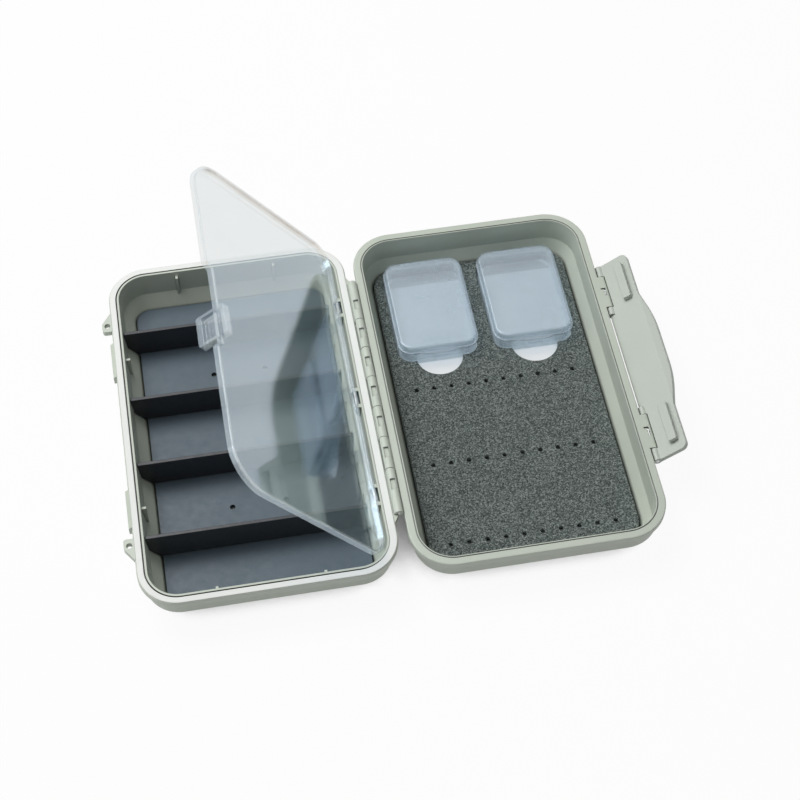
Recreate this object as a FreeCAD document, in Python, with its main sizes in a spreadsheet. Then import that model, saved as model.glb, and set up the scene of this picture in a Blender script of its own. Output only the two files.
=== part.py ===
import FreeCAD, Part
import math
import os
import Sketcher

# Waterproof fly box, lying open on its two halves.
# X runs across both halves, from the base to the lid. Y runs along the hinge. Z is up.
# The origin is the centre of the base's flat underside. All lengths are millimetres.

SIZES = {
    # Outline of the two halves
    "base_width": 93.8,
    "base_length": 153.6,
    "base_corner": 14.9,
    "lid_overhang": 1.2,
    "shell_depth": 18.5,
    "floor_thickness": 1.8,
    "flange_thickness": 2.2,
    "flange_edge_round": 0.5,
    "cut_overrun": 1.0,
    # Base section, measured inwards from its flange edge and down from the rim plane
    "base_rim_drop": 0.3,
    "base_wall_inset": 2.2,
    "base_mouth_inset": 3.9,
    "wall_draft": 0.9,
    "sill_height": 6.5,
    "sill_run": 4.4,
    # Seal in the base rim
    "gasket_inset": 0.4,
    "gasket_width": 2.2,
    "gasket_hinge_extra": 0.4,
    "gasket_groove_width": 2.7,
    "gasket_groove_depth": 1.1,
    "gasket_stand": 0.25,
    "rim_lip_height": 0.2,
    # Lid section
    "lid_rim_drop": 0.1,
    "lid_wall_inset": 2.0,
    "lid_mouth_inset": 3.6,
    "lid_wall_draft": 0.3,
    "lid_sill_run": 4.3,
    "lid_line_inset": 2.8,
    "lid_line_width": 0.4,
    "lid_line_depth": 0.4,
    # Main hinge
    "hinge_half_gap": 1.9,
    "hinge_shift": 0.7,
    "knuckle_pitch": 14.1,
    "knuckle_radius": 1.7,
    "knuckle_gap": 0.2,
    "knuckle_gap_reach": 5.7,
    "hinge_end_length": 5.0,
    "hinge_end_slant": 3.2,
    "hinge_pin_radius": 0.6,
    "pin_clearance": 0.05,
    "hinge_window_width": 1.9,
    "hinge_window_length": 4.7,
    "hinge_window_floor": 0.9,
    # Catches on the base's free side
    "catch_spacing": 68.2,
    "catch_length": 16.3,
    "catch_stand": 1.2,
    "catch_top_drop": 1.0,
    "catch_lead_in": 1.0,
    "catch_height": 4.3,
    "catch_lip": 1.3,
    "catch_heel_drop": 2.2,
    "catch_root_drop": 1.95,
    # Lanyard eyelets beside the latch
    "eyelet_near": 47.4,
    "eyelet_reach": 3.5,
    "eyelet_hole_centre_reach": 1.5,
    "eyelet_hole_y": 50.3,
    "eyelet_hole_radius": 1.1,
    "eyelet_straight": 4.0,
    "eyelet_slope": 5.0,
    "eyelet_round": 1.2,
    # Floor plate and dividers
    "plate_thickness": 1.6,
    "plate_clearance": 0.15,
    "plate_hole_radius": 1.0,
    "plate_hole_spacing_x": 20.1,
    "plate_hole_spacing_y": 62.0,
    "divider_thickness": 1.2,
    "divider_top_drop": 2.0,
    "divider_clearance": 0.2,
    "divider_hinge_setback": 8.6,
    "wall_rib_width": 1.0,
    "wall_rib_stand": 1.0,
    "wall_rib_foot_drop": 1.8,
    "wall_rib_spacing": 38.8,
    # Inner cover and its three snap hinges
    "cover_axis_inset": 5.4,
    "cover_axis_drop": 1.3,
    "cover_pin_radius": 0.6,
    "cover_pin_length": 9.6,
    "cover_knuckle_radius": 1.25,
    "cover_clip_length": 5.6,
    "cover_lug_thickness": 1.6,
    "cover_lug_gap": 0.2,
    "cover_lug_depth": 5.0,
    "cover_lug_root_depth": 10.0,
    "cover_hinge_pitch": 44.0,
    "cover_edge_gap": 2.0,
    "cover_free_gap": 4.6,
    "cover_end_gap": 4.4,
    "cover_thickness": 1.0,
    "cover_underside_drop": 0.3,
    "cover_lip_height": 1.2,
    "cover_lip_width": 1.0,
    "cover_free_corner": 15.0,
    "cover_hinge_corner": 9.0,
    # Recess in the cover's free edge, and the snap leg that stands in it
    "cover_recess_front": -14.5,
    "cover_recess_back": 18.0,
    "cover_recess_depth": 2.9,
    "cover_recess_slant": 2.4,
    "snap_leg_centre": -5.1,
    "snap_leg_width": 12.8,
    "snap_leg_depth": 8.0,
    "snap_leg_rise": 3.7,
    "snap_leg_thickness": 3.0,
    "snap_leg_round": 0.8,
    "snap_leg_border": 1.1,
    "snap_leg_tip_border": 2.4,
    "snap_leg_hollow": 1.8,
    # Foam in the lid
    "foam_inset": 8.2,
    "foam_sheet_thickness": 0.4,
    "foam_thickness": 2.3,
    "foam_shift": -0.3,
    "foam_hole_radius": 0.75,
    "foam_hole_side_border": 8.25,
    "foam_hole_front_border": 8.3,
    "foam_hole_case_gap": 14.0,
    "foam_pocket_clearance": 0.4,
    "foam_notch_radius": 9.3,
    "foam_notch_overlap": 1.3,
    # Two lift-out cases, let into the foam
    "case_length": 45.0,
    "case_height": 10.0,
    "case_corner": 5.5,
    "case_side_border": 4.05,
    "case_middle_gap": 6.1,
    "case_back_border": 1.7,
    "case_tray_height": 6.5,
    "case_wall": 1.0,
    "case_rim_stand": 0.5,
    "case_rim_thickness": 0.8,
    "case_lid_gap": 0.05,
    "case_lid_round": 1.2,
    "case_hinge_gap": 0.1,
    "case_knuckle_radius": 0.9,
    "case_pin_radius": 0.4,
    "case_hinge_length": 16.0,
    "case_lid_knuckle_length": 6.0,
    "case_knuckle_web": 1.4,
    "case_tab_width": 13.0,
    "case_tab_reach": 1.0,
    "case_tab_round": 2.0,
    "case_clasp_width": 6.0,
    "case_clasp_height": 2.6,
    "case_clasp_stand": 0.4,
    # Latch on the lid's free side
    "latch_axis_reach": 1.6,
    "latch_axis_drop": 1.6,
    "latch_half_length": 46.8,
    "latch_knuckle_radius": 1.5,
    "latch_pin_radius": 0.7,
    "latch_ear_near": 26.2,
    "latch_ear_far": 41.4,
    "latch_ear_gap": 0.2,
    "latch_middle": 22.5,
    "latch_root_gap": 0.25,
    "latch_middle_root": 0.7,
    "latch_inner_face": 0.5,
    "latch_thickness": 1.8,
    "latch_length": 12.8,
    "latch_corner": 2.5,
    "latch_grip_reach": 2.7,
    "latch_grip_drop": 1.4,
    "latch_grip_half": 27.0,
    "latch_grip_flat": 14.0,
    "latch_grip_round": 60.0,
    "latch_grip_start_round": 8.0,
    "latch_rib_start": 7.1,
    "latch_rib_width": 3.4,
    "latch_rib_length": 17.0,
    "latch_rib_height": 2.0,
    "latch_rib_round": 0.5,
    "latch_slot_reach": 1.8,
    "latch_slot_width": 0.6,
    "latch_slot_length": 3.8,
    "latch_slot_depth": 1.2,
}

# Angles at rest, in degrees
COVER_OPEN_ANGLE = 53.1
LATCH_OPEN_ANGLE = 36.0

doc = FreeCAD.newDocument("FlyBox")
sheet = doc.addObject("Spreadsheet::Sheet", "Sizes")
for row, (alias, number) in enumerate(SIZES.items(), start=1):
    sheet.set(f"A{row}", alias)
    sheet.set(f"B{row}", str(number))
    sheet.setAlias(f"B{row}", alias)
doc.recompute()


class Size:
    """A length worked out from the sheet: its value now and the expression that gives it."""

    def __init__(self, value, text):
        self.value = value
        self.text = text

    def __add__(self, other):
        other = as_size(other)
        return Size(self.value + other.value, f"({self.text} + {other.text})")

    def __sub__(self, other):
        other = as_size(other)
        return Size(self.value - other.value, f"({self.text} - {other.text})")

    def __mul__(self, factor):
        return Size(self.value * factor, f"({self.text} * {factor})")

    def __truediv__(self, divisor):
        return Size(self.value / divisor, f"({self.text} / {divisor})")

    def __neg__(self):
        return Size(-self.value, f"(0 - {self.text})")

    def times_ratio(self, top, bottom):
        """This length times the ratio of two others."""
        value = self.value * top.value / bottom.value
        return Size(value, f"({self.text} * {top.text} / {bottom.text})")


class SizeBook:
    """Every size of the sheet, read by its alias."""

    def __getattr__(self, alias):
        return Size(SIZES[alias], f"Sizes.{alias}")


def as_size(number):
    if isinstance(number, Size):
        return number
    return Size(number, f"{number}")


size = SizeBook()
zero = Size(0, "0")


# Sketches and features

PLANE_ROLES = {"x": "YZ_Plane", "y": "XZ_Plane", "z": "XY_Plane"}
# The XZ plane faces -Y, so a level along Y is counted the other way there.
PLANE_SENSES = {"x": 1, "y": -1, "z": 1}


def bind(obj, path, length):
    obj.setExpression(path, length.text)


def new_body(label):
    body = doc.addObject("PartDesign::Body", label)
    body.Label = label
    return body


def origin_plane(body, role):
    for feature in body.Origin.OriginFeatures:
        if feature.Role == role:
            return feature
    raise RuntimeError(f"{body.Label} has no plane {role}")


def new_sketch(body, name, axis, level):
    """Empty sketch square to an axis, at a level along it."""
    sketch = body.newObject("Sketcher::SketchObject", name)
    sketch.AttachmentSupport = [(origin_plane(body, PLANE_ROLES[axis]), "")]
    sketch.MapMode = "FlatFace"
    offset = level if PLANE_SENSES[axis] > 0 else -level
    sketch.AttachmentOffset = FreeCAD.Placement(
        FreeCAD.Vector(0, 0, offset.value), FreeCAD.Rotation())
    bind(sketch, "AttachmentOffset.Base.z", offset)
    return sketch


def fix_point(sketch, geometry, vertex, x, y):
    """Hold one point of a sketch at its distances from the sketch's origin."""
    for kind, length in (("DistanceX", x), ("DistanceY", y)):
        index = sketch.addConstraint(
            Sketcher.Constraint(kind, -1, 1, geometry, vertex, length.value))
        bind(sketch, f"Constraints[{index}]", length)


def draw_circle(sketch, x, y, radius):
    centre = FreeCAD.Vector(x.value, y.value, 0)
    up = FreeCAD.Vector(0, 0, 1)
    circle = sketch.addGeometry(Part.Circle(centre, up, radius.value), False)
    fix_point(sketch, circle, 3, x, y)
    index = sketch.addConstraint(Sketcher.Constraint("Radius", circle, radius.value))
    bind(sketch, f"Constraints[{index}]", radius)


def corner_arc(before, at, after, radius):
    """Rounding of one corner: where it leaves each side, and the arc between."""
    to_before = (before - at).normalize()
    to_after = (after - at).normalize()
    half_angle = to_before.getAngle(to_after) / 2
    reach = radius / math.tan(half_angle)
    enter = at + to_before * reach
    leave = at + to_after * reach
    centre = at + (to_before + to_after).normalize() * (radius / math.sin(half_angle))
    turns_left = (-to_before).cross(to_after).z > 0
    first, last = (enter, leave) if turns_left else (leave, enter)
    start_angle = math.atan2(first.y - centre.y, first.x - centre.x)
    end_angle = math.atan2(last.y - centre.y, last.x - centre.x)
    circle = Part.Circle(centre, FreeCAD.Vector(0, 0, 1), radius)
    return enter, leave, Part.ArcOfCircle(circle, start_angle, end_angle), turns_left


def draw_outline(sketch, corners):
    """Closed outline through corners (x, y), or (x, y, radius) where one is rounded."""
    count = len(corners)
    points = [FreeCAD.Vector(corner[0].value, corner[1].value, 0) for corner in corners]
    enters = list(points)
    leaves = list(points)
    arcs = {}
    for i, corner in enumerate(corners):
        if len(corner) == 3:
            after = points[(i + 1) % count]
            enter, leave, arc, turns_left = corner_arc(
                points[i - 1], points[i], after, corner[2].value)
            enters[i] = enter
            leaves[i] = leave
            arcs[i] = (arc, turns_left)
    sides = []
    for i in range(count):
        side = Part.LineSegment(leaves[i], enters[(i + 1) % count])
        sides.append(sketch.addGeometry(side, False))
    for i, corner in enumerate(corners):
        side_in = sides[i - 1]
        side_out = sides[i]
        if i not in arcs:
            sketch.addConstraint(
                Sketcher.Constraint("Coincident", side_in, 2, side_out, 1))
            fix_point(sketch, side_out, 1, corner[0], corner[1])
            continue
        arc, turns_left = arcs[i]
        rounding = sketch.addGeometry(arc, False)
        first, last = (1, 2) if turns_left else (2, 1)
        sketch.addConstraint(Sketcher.Constraint("Tangent", side_in, 2, rounding, first))
        sketch.addConstraint(Sketcher.Constraint("Tangent", rounding, last, side_out, 1))
        index = sketch.addConstraint(
            Sketcher.Constraint("Radius", rounding, corner[2].value))
        bind(sketch, f"Constraints[{index}]", corner[2])
        mark = sketch.addGeometry(Part.Point(points[i]), True)
        fix_point(sketch, mark, 1, corner[0], corner[1])
        sketch.addConstraint(Sketcher.Constraint("PointOnObject", mark, 1, side_in))
        sketch.addConstraint(Sketcher.Constraint("PointOnObject", mark, 1, side_out))


def rounded(x_low, x_high, y_low, y_high, low_radius, high_radius=None):
    """Corners of a rectangle, rounded with one radius at low X and one at high X."""
    high_radius = high_radius or low_radius
    return [(x_low, y_low, low_radius), (x_high, y_low, high_radius),
            (x_high, y_high, high_radius), (x_low, y_high, low_radius)]


def rectangle(x_low, x_high, y_low, y_high):
    return [(x_low, y_low), (x_high, y_low), (x_high, y_high), (x_low, y_high)]


def inset_outline(width, length, corner, inset):
    """Rounded rectangle about the origin, drawn in by the same amount all round."""
    half_width = width / 2 - inset
    half_length = length / 2 - inset
    return rounded(-half_width, half_width, -half_length, half_length, corner - inset)


def draw(sketch, outline):
    """A circle is one tuple (x, y, radius). Anything else is a list of corners."""
    if isinstance(outline, tuple):
        draw_circle(sketch, *outline)
    else:
        draw_outline(sketch, outline)


def prism(body, name, axis, low, high, *outlines, cut=False):
    """Straight solid along an axis between two levels, added or cut away."""
    sketch = new_sketch(body, f"{name}_outline", axis, (low + high) / 2)
    for outline in outlines:
        draw(sketch, outline)
    kind = "PartDesign::Pocket" if cut else "PartDesign::Pad"
    feature = body.newObject(kind, name)
    feature.Profile = sketch
    feature.SideType = "Symmetric"
    bind(feature, "Length", high - low)
    return feature


def loft(body, name, sections, cut=False):
    """Ruled solid through outlines, each given with its level along Z."""
    kind = "PartDesign::SubtractiveLoft" if cut else "PartDesign::AdditiveLoft"
    sketches = []
    for i, (level, outline) in enumerate(sections):
        sketch = new_sketch(body, f"{name}_section_{i + 1}", "z", level)
        draw(sketch, outline)
        sketches.append(sketch)
    feature = body.newObject(kind, name)
    feature.Profile = sketches[0]
    feature.Sections = sketches[1:]
    feature.Ruled = True
    return feature


def mirrored(body, name, originals):
    """The same features again across the middle of the length."""
    feature = body.newObject("PartDesign::Mirrored", name)
    feature.Originals = originals
    feature.MirrorPlane = (origin_plane(body, "XZ_Plane"), [""])
    body.Tip = feature
    return feature


def repeated(body, name, originals, pitch, count):
    """The same features again at a pitch along Y, towards the front."""
    feature = body.newObject("PartDesign::LinearPattern", name)
    feature.Originals = originals
    feature.Direction = (origin_plane(body, "Y_Axis"), [""])
    feature.Reversed = True
    feature.Occurrences = count
    bind(feature, "Length", pitch * (count - 1))
    body.Tip = feature
    return feature


def round_edges(body, name, radius, wanted):
    """Fillet on the edges of the body's last feature that the test picks."""
    doc.recompute()
    base = body.Tip
    names = [f"Edge{i + 1}" for i, edge in enumerate(base.Shape.Edges) if wanted(edge)]
    feature = body.newObject("PartDesign::Fillet", name)
    feature.Base = (base, names)
    bind(feature, "Radius", radius)
    return feature


def all_at_level(edge, level):
    """Whether an edge lies flat at a level along Z."""
    box = edge.BoundBox
    return abs(box.ZMin - level.value) < SAME and abs(box.ZMax - level.value) < SAME


def place(body, x, y, z, tilt=0):
    """Set a body at its seat, tipped up about its own Y axis by an angle in degrees."""
    turn = FreeCAD.Rotation(FreeCAD.Vector(0, -1, 0), tilt)
    body.Placement = FreeCAD.Placement(FreeCAD.Vector(x.value, y.value, z.value), turn)
    bind(body, "Placement.Base.x", x)
    bind(body, "Placement.Base.y", y)
    bind(body, "Placement.Base.z", z)


# Share of the smallest clearance within which two levels count as the same
SAME_SHARE = 0.02
SAME = SAME_SHARE * size.pin_clearance.value


# Levels and places shared by several pieces

rim_z = size.shell_depth
sill_z = size.floor_thickness + size.sill_height
hinge_x = size.base_width / 2 + size.hinge_half_gap
lid_width = size.base_width + size.lid_overhang
lid_length = size.base_length + size.lid_overhang + size.lid_overhang
lid_corner = size.base_corner + size.lid_overhang
lid_x = hinge_x + size.hinge_half_gap + lid_width / 2
base_top = rim_z - size.base_rim_drop
lid_top = rim_z - size.lid_rim_drop
base_free_edge = -(size.base_width / 2)
base_hinge_edge = size.base_width / 2
cover_axis_x = base_hinge_edge - size.cover_axis_inset
cover_axis_z = rim_z - size.cover_axis_drop
plate_top = size.floor_thickness + size.plate_thickness
sheet_top = size.floor_thickness + size.foam_sheet_thickness
foam_top = sheet_top + size.foam_thickness
latch_x = lid_width / 2 + size.latch_axis_reach
latch_z = rim_z - size.latch_axis_drop
plate_half_length = (size.base_length / 2 - size.base_mouth_inset - size.wall_draft
                     - size.sill_run)
foam_half_width = lid_width / 2 - size.foam_inset
foam_half_length = lid_length / 2 - size.foam_inset
case_width = foam_half_width - size.case_side_border - size.case_middle_gap / 2
case_spacing = case_width + size.case_middle_gap
case_centre_y = foam_half_length - size.case_back_border - size.case_length / 2
case_front_y = case_centre_y - size.case_length / 2

KNUCKLES = 7
HINGE_STATIONS = (1, 0, -1)
FOAM_COLUMNS = 10
FOAM_LINES = 3
# Places of the four dividers, as shares of the floor plate's half length
DIVIDER_SHARES = (0.6923, 0.2204, -0.2204, -0.6923)


def cavity_inset(z):
    """How far in the base's inner wall lies at a level above its sill."""
    fall = base_top - z
    return size.base_mouth_inset + size.wall_draft.times_ratio(fall, base_top - sill_z)


def tray(body, width, length, corner, top, wall_inset, mouth_inset, draft, run):
    """Moulded half: chamfered tray with an outward flange round its mouth."""
    outer_run = run.times_ratio(sill_z, size.sill_height)
    under_flange = top - size.flange_thickness

    def outline(inset):
        return inset_outline(width, length, corner, inset)

    loft(body, "tray_outside", [
        (zero, outline(wall_inset + outer_run)),
        (sill_z, outline(wall_inset)),
        (under_flange, outline(wall_inset)),
    ])
    prism(body, "flange", "z", under_flange, top, outline(zero))
    round_edges(body, "flange_edge", size.flange_edge_round,
                lambda edge: all_at_level(edge, top))
    foot_inset = mouth_inset + draft
    loft(body, "tray_inside", [
        (top, outline(mouth_inset)),
        (sill_z, outline(foot_inset)),
        (size.floor_thickness, outline(foot_inset + run)),
    ], cut=True)


def knuckle_low(index):
    """Low end along Y of one knuckle of the main hinge, counted from the back."""
    return size.hinge_shift + size.knuckle_pitch * (KNUCKLES / 2 - index - 1)


def hinge_leaf(body, side, axis_x, edge_x, flange_bottom, own, end_slant):
    """One leaf of the main hinge: web and barrel, cut to its own knuckles."""
    low = knuckle_low(KNUCKLES - 1) - size.hinge_end_length
    high = knuckle_low(0) + size.knuckle_pitch + size.hinge_end_length
    inner_x = edge_x - size.gasket_inset * side
    web = [(inner_x, low - end_slant), (edge_x, low - end_slant), (axis_x, low),
           (axis_x, high), (edge_x, high + end_slant), (inner_x, high + end_slant)]
    prism(body, "hinge_web", "z", flange_bottom, rim_z - size.base_rim_drop, web)
    prism(body, "hinge_barrel", "y", low, high, (axis_x, rim_z, size.knuckle_radius))

    # Room for the other leaf's knuckles
    far_x = edge_x + size.knuckle_gap_reach * side
    x_low, x_high = (edge_x, far_x) if side > 0 else (far_x, edge_x)
    gaps = []
    for index in range(KNUCKLES):
        if index in own:
            continue
        gap_low = knuckle_low(index) - size.knuckle_gap / 2
        gap_high = gap_low + size.knuckle_pitch + size.knuckle_gap
        if index == 0:
            gap_high = high + end_slant + size.cut_overrun
        if index == KNUCKLES - 1:
            gap_low = low - end_slant - size.cut_overrun
        gaps.append(rectangle(x_low, x_high, gap_low, gap_high))
    prism(body, "knuckle_gaps", "z", rim_z - size.knuckle_gap_reach,
          rim_z + size.knuckle_gap_reach, *gaps, cut=True)

    # Blind windows above the pin, and the bore for it
    half_width = size.hinge_window_width / 2
    window_floor = rim_z + size.hinge_window_floor
    windows = []
    for index in own:
        centre = knuckle_low(index) + size.knuckle_pitch / 2
        windows.append(rectangle(
            axis_x - half_width, axis_x + half_width,
            centre - size.hinge_window_length / 2, centre + size.hinge_window_length / 2))
    prism(body, "hinge_windows", "z", window_floor, rim_z + size.knuckle_gap_reach,
          *windows, cut=True)
    prism(body, "hinge_bore", "y", low - size.cut_overrun, high + size.cut_overrun,
          (axis_x, rim_z, size.hinge_pin_radius + size.pin_clearance), cut=True)


def build_base_shell():
    body = new_body("base_shell")
    tray(body, size.base_width, size.base_length, size.base_corner, base_top,
         size.base_wall_inset, size.base_mouth_inset, size.wall_draft, size.sill_run)

    def outline(inset):
        return inset_outline(size.base_width, size.base_length, size.base_corner, inset)

    # Seal groove and the raised lip inside it
    groove_bottom = base_top - size.gasket_groove_depth
    groove_inside = size.gasket_inset + size.gasket_groove_width
    prism(body, "seal_groove", "z", groove_bottom, base_top + size.cut_overrun,
          outline(size.gasket_inset), outline(groove_inside), cut=True)
    prism(body, "rim_lip", "z", groove_bottom, base_top + size.rim_lip_height,
          outline(groove_inside), outline(size.base_mouth_inset))

    # Catches for the latch
    catch_x = base_free_edge - size.catch_stand
    wall_x = base_free_edge + size.base_wall_inset
    catch_top = rim_z - size.catch_top_drop
    catch_bottom = catch_top - size.catch_height
    catch_root = rim_z - size.catch_root_drop
    catch_profile = [
        (wall_x, catch_root), (base_free_edge, catch_root),
        (base_free_edge, catch_top), (catch_x, catch_top - size.catch_lead_in),
        (catch_x, catch_bottom), (catch_x + size.catch_lip, catch_bottom),
        (wall_x, catch_bottom - size.catch_heel_drop)]
    centre = size.catch_spacing / 2
    catch = prism(body, "catch", "y", centre - size.catch_length / 2,
                  centre + size.catch_length / 2, catch_profile)
    mirrored(body, "catch_mirror", [catch])

    # Lanyard eyelets
    outer_x = base_free_edge - size.eyelet_reach
    inner_x = base_free_edge + size.gasket_inset
    hole_x = base_free_edge - size.eyelet_hole_centre_reach
    eyelets = []
    for sign in (1, -1):
        near = size.eyelet_near * sign
        bend = (size.eyelet_near + size.eyelet_straight) * sign
        far = (size.eyelet_near + size.eyelet_straight + size.eyelet_slope) * sign
        eyelets.append([(inner_x, near), (outer_x, near, size.eyelet_round),
                        (outer_x, bend, size.eyelet_round), (base_free_edge, far),
                        (inner_x, far)])
        eyelets.append((hole_x, size.eyelet_hole_y * sign, size.eyelet_hole_radius))
    prism(body, "eyelets", "z", base_top - size.flange_thickness, base_top, *eyelets)

    # Slim upright ribs, two inside each end wall and one behind each catch
    rib_top = rim_z - size.divider_top_drop
    rib_foot = sill_z - size.wall_rib_foot_drop
    root_inset = size.base_mouth_inset + size.wall_draft - size.wall_rib_stand
    edge_inset = size.base_mouth_inset + size.wall_draft + size.wall_rib_stand
    half_length = size.base_length / 2
    half_rib = size.wall_rib_width / 2
    for name, sign in (("left", -1), ("right", 1)):
        rib_x = size.wall_rib_spacing * (sign / 2)
        prism(body, f"end_ribs_{name}", "x", rib_x - half_rib, rib_x + half_rib,
              rectangle(half_length - edge_inset, half_length - root_inset, rib_foot, rib_top),
              rectangle(root_inset - half_length, edge_inset - half_length, rib_foot, rib_top))
    catch_rib = prism(body, "catch_rib", "y", centre - half_rib, centre + half_rib,
                      rectangle(base_free_edge + root_inset, base_free_edge + edge_inset,
                                rib_foot, rib_top))
    mirrored(body, "catch_rib_mirror", [catch_rib])

    # Lugs that carry the inner cover's pins, a pair at each of three stations
    wall_in = base_hinge_edge - size.base_wall_inset
    nose_x = cover_axis_x - size.cover_knuckle_radius
    lip_x = base_hinge_edge - groove_inside
    lug = [(wall_in, base_top - size.cover_lug_root_depth), (wall_in, groove_bottom),
           (lip_x, groove_bottom), (lip_x, base_top),
           (cover_axis_x, base_top), (nose_x, cover_axis_z),
           (nose_x, cover_axis_z - size.cover_knuckle_radius),
           (cover_axis_x, base_top - size.cover_lug_depth)]
    lug_near = size.cover_clip_length / 2 + size.cover_lug_gap
    lug_far = lug_near + size.cover_lug_thickness
    station = size.cover_hinge_pitch
    pair = [prism(body, "cover_lug_back", "y", station + lug_near, station + lug_far, lug),
            prism(body, "cover_lug_front", "y", station - lug_far, station - lug_near, lug)]
    repeated(body, "cover_lugs", pair, station, len(HINGE_STATIONS))
    bore_reach = station + lug_far + size.cut_overrun
    prism(body, "cover_lug_bore", "y", -bore_reach, bore_reach,
          (cover_axis_x, cover_axis_z, size.cover_pin_radius), cut=True)

    hinge_leaf(body, 1, hinge_x, base_hinge_edge, base_top - size.flange_thickness,
               range(0, KNUCKLES, 2), size.hinge_end_slant)
    return body


def build_lid_shell():
    body = new_body("lid_shell")
    tray(body, lid_width, lid_length, lid_corner, lid_top,
         size.lid_wall_inset, size.lid_mouth_inset, size.lid_wall_draft, size.lid_sill_run)

    def outline(inset):
        return inset_outline(lid_width, lid_length, lid_corner, inset)

    # Sight line that parts the flat sealing land from the inner bead
    prism(body, "rim_line", "z", lid_top - size.lid_line_depth, lid_top + size.cut_overrun,
          outline(size.lid_line_inset), outline(size.lid_line_inset + size.lid_line_width),
          cut=True)

    # Ears that carry the latch's pins, with a small hooked slot in each
    flange_edge = lid_width / 2
    ear_inner = flange_edge - size.flange_thickness
    ear_bottom = latch_z - size.latch_knuckle_radius + size.pin_clearance
    near = size.latch_ear_near
    far = size.latch_ear_far
    prism(body, "latch_ears", "z", ear_bottom, lid_top,
          rectangle(ear_inner, latch_x, near, far),
          rectangle(ear_inner, latch_x, -far, -near))
    nose = prism(body, "latch_ear_nose", "y", near, far,
                 (latch_x, latch_z, size.latch_knuckle_radius))
    mirrored(body, "latch_ear_nose_mirror", [nose])
    slots = []
    bar_x = latch_x - size.latch_slot_reach
    leg_x = latch_x - size.latch_slot_width
    for sign in (1, -1):
        back_y = (near + far) * (sign / 2) + size.latch_slot_length / 2
        front_y = back_y - size.latch_slot_length
        bar_y = back_y - size.latch_slot_width
        slots.append([(bar_x, bar_y), (leg_x, bar_y), (leg_x, front_y), (latch_x, front_y),
                      (latch_x, back_y), (bar_x, back_y)])
    prism(body, "ear_slots", "z", lid_top - size.latch_slot_depth,
          lid_top + size.cut_overrun, *slots, cut=True)
    prism(body, "latch_bore", "y", -far - size.cut_overrun, far + size.cut_overrun,
          (latch_x, latch_z, size.latch_pin_radius + size.pin_clearance), cut=True)

    hinge_leaf(body, -1, hinge_x - lid_x, -(lid_width / 2),
               lid_top - size.flange_thickness, range(1, KNUCKLES, 2), zero)
    place(body, lid_x, zero, zero)
    return body


def build_rim_gasket():
    body = new_body("rim_gasket")
    half_width = size.base_width / 2
    outside = inset_outline(size.base_width, size.base_length, size.base_corner,
                            size.gasket_inset)
    inner = size.gasket_inset + size.gasket_width
    inner_x = half_width - inner
    inner_y = size.base_length / 2 - inner
    inside = rounded(-inner_x, inner_x - size.gasket_hinge_extra, -inner_y, inner_y,
                     size.base_corner - inner)
    bottom = base_top - size.gasket_groove_depth
    prism(body, "seal", "z", bottom, base_top + size.gasket_stand, outside, inside)
    return body


def build_floor_plate():
    body = new_body("base_floor_plate")
    inset = size.base_mouth_inset + size.wall_draft + size.sill_run + size.plate_clearance
    plate = inset_outline(size.base_width, size.base_length, size.base_corner, inset)
    holes = []
    for x_sign in (-1, 1):
        for y_sign in (-1, 1):
            holes.append((size.plate_hole_spacing_x * (x_sign / 2),
                          size.plate_hole_spacing_y * (y_sign / 2),
                          size.plate_hole_radius))
    prism(body, "plate", "z", size.floor_thickness, plate_top, plate, *holes)
    return body


def build_divider(number, centre):
    """Upright wall between two compartments, cut to the sill at its free-side end."""
    body = new_body(f"divider_{number}")
    top = rim_z - size.divider_top_drop
    start = base_free_edge + size.divider_clearance
    sill_fall = size.sill_run.times_ratio(sill_z - plate_top, size.sill_height)
    foot_inset = size.base_mouth_inset + size.wall_draft
    end_x = base_hinge_edge - size.divider_hinge_setback
    profile = [(start + cavity_inset(top), top), (start + foot_inset, sill_z),
               (start + foot_inset + sill_fall, plate_top), (end_x, plate_top), (end_x, top)]
    prism(body, "wall", "y", centre - size.divider_thickness / 2,
          centre + size.divider_thickness / 2, profile)
    return body


def build_pin(label, axis, start, end, x, z, radius):
    """Plain round pin along Y, or along X where the axis says so."""
    body = new_body(label)
    prism(body, "shank", axis, start, end, (x, z, radius))
    return body


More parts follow.
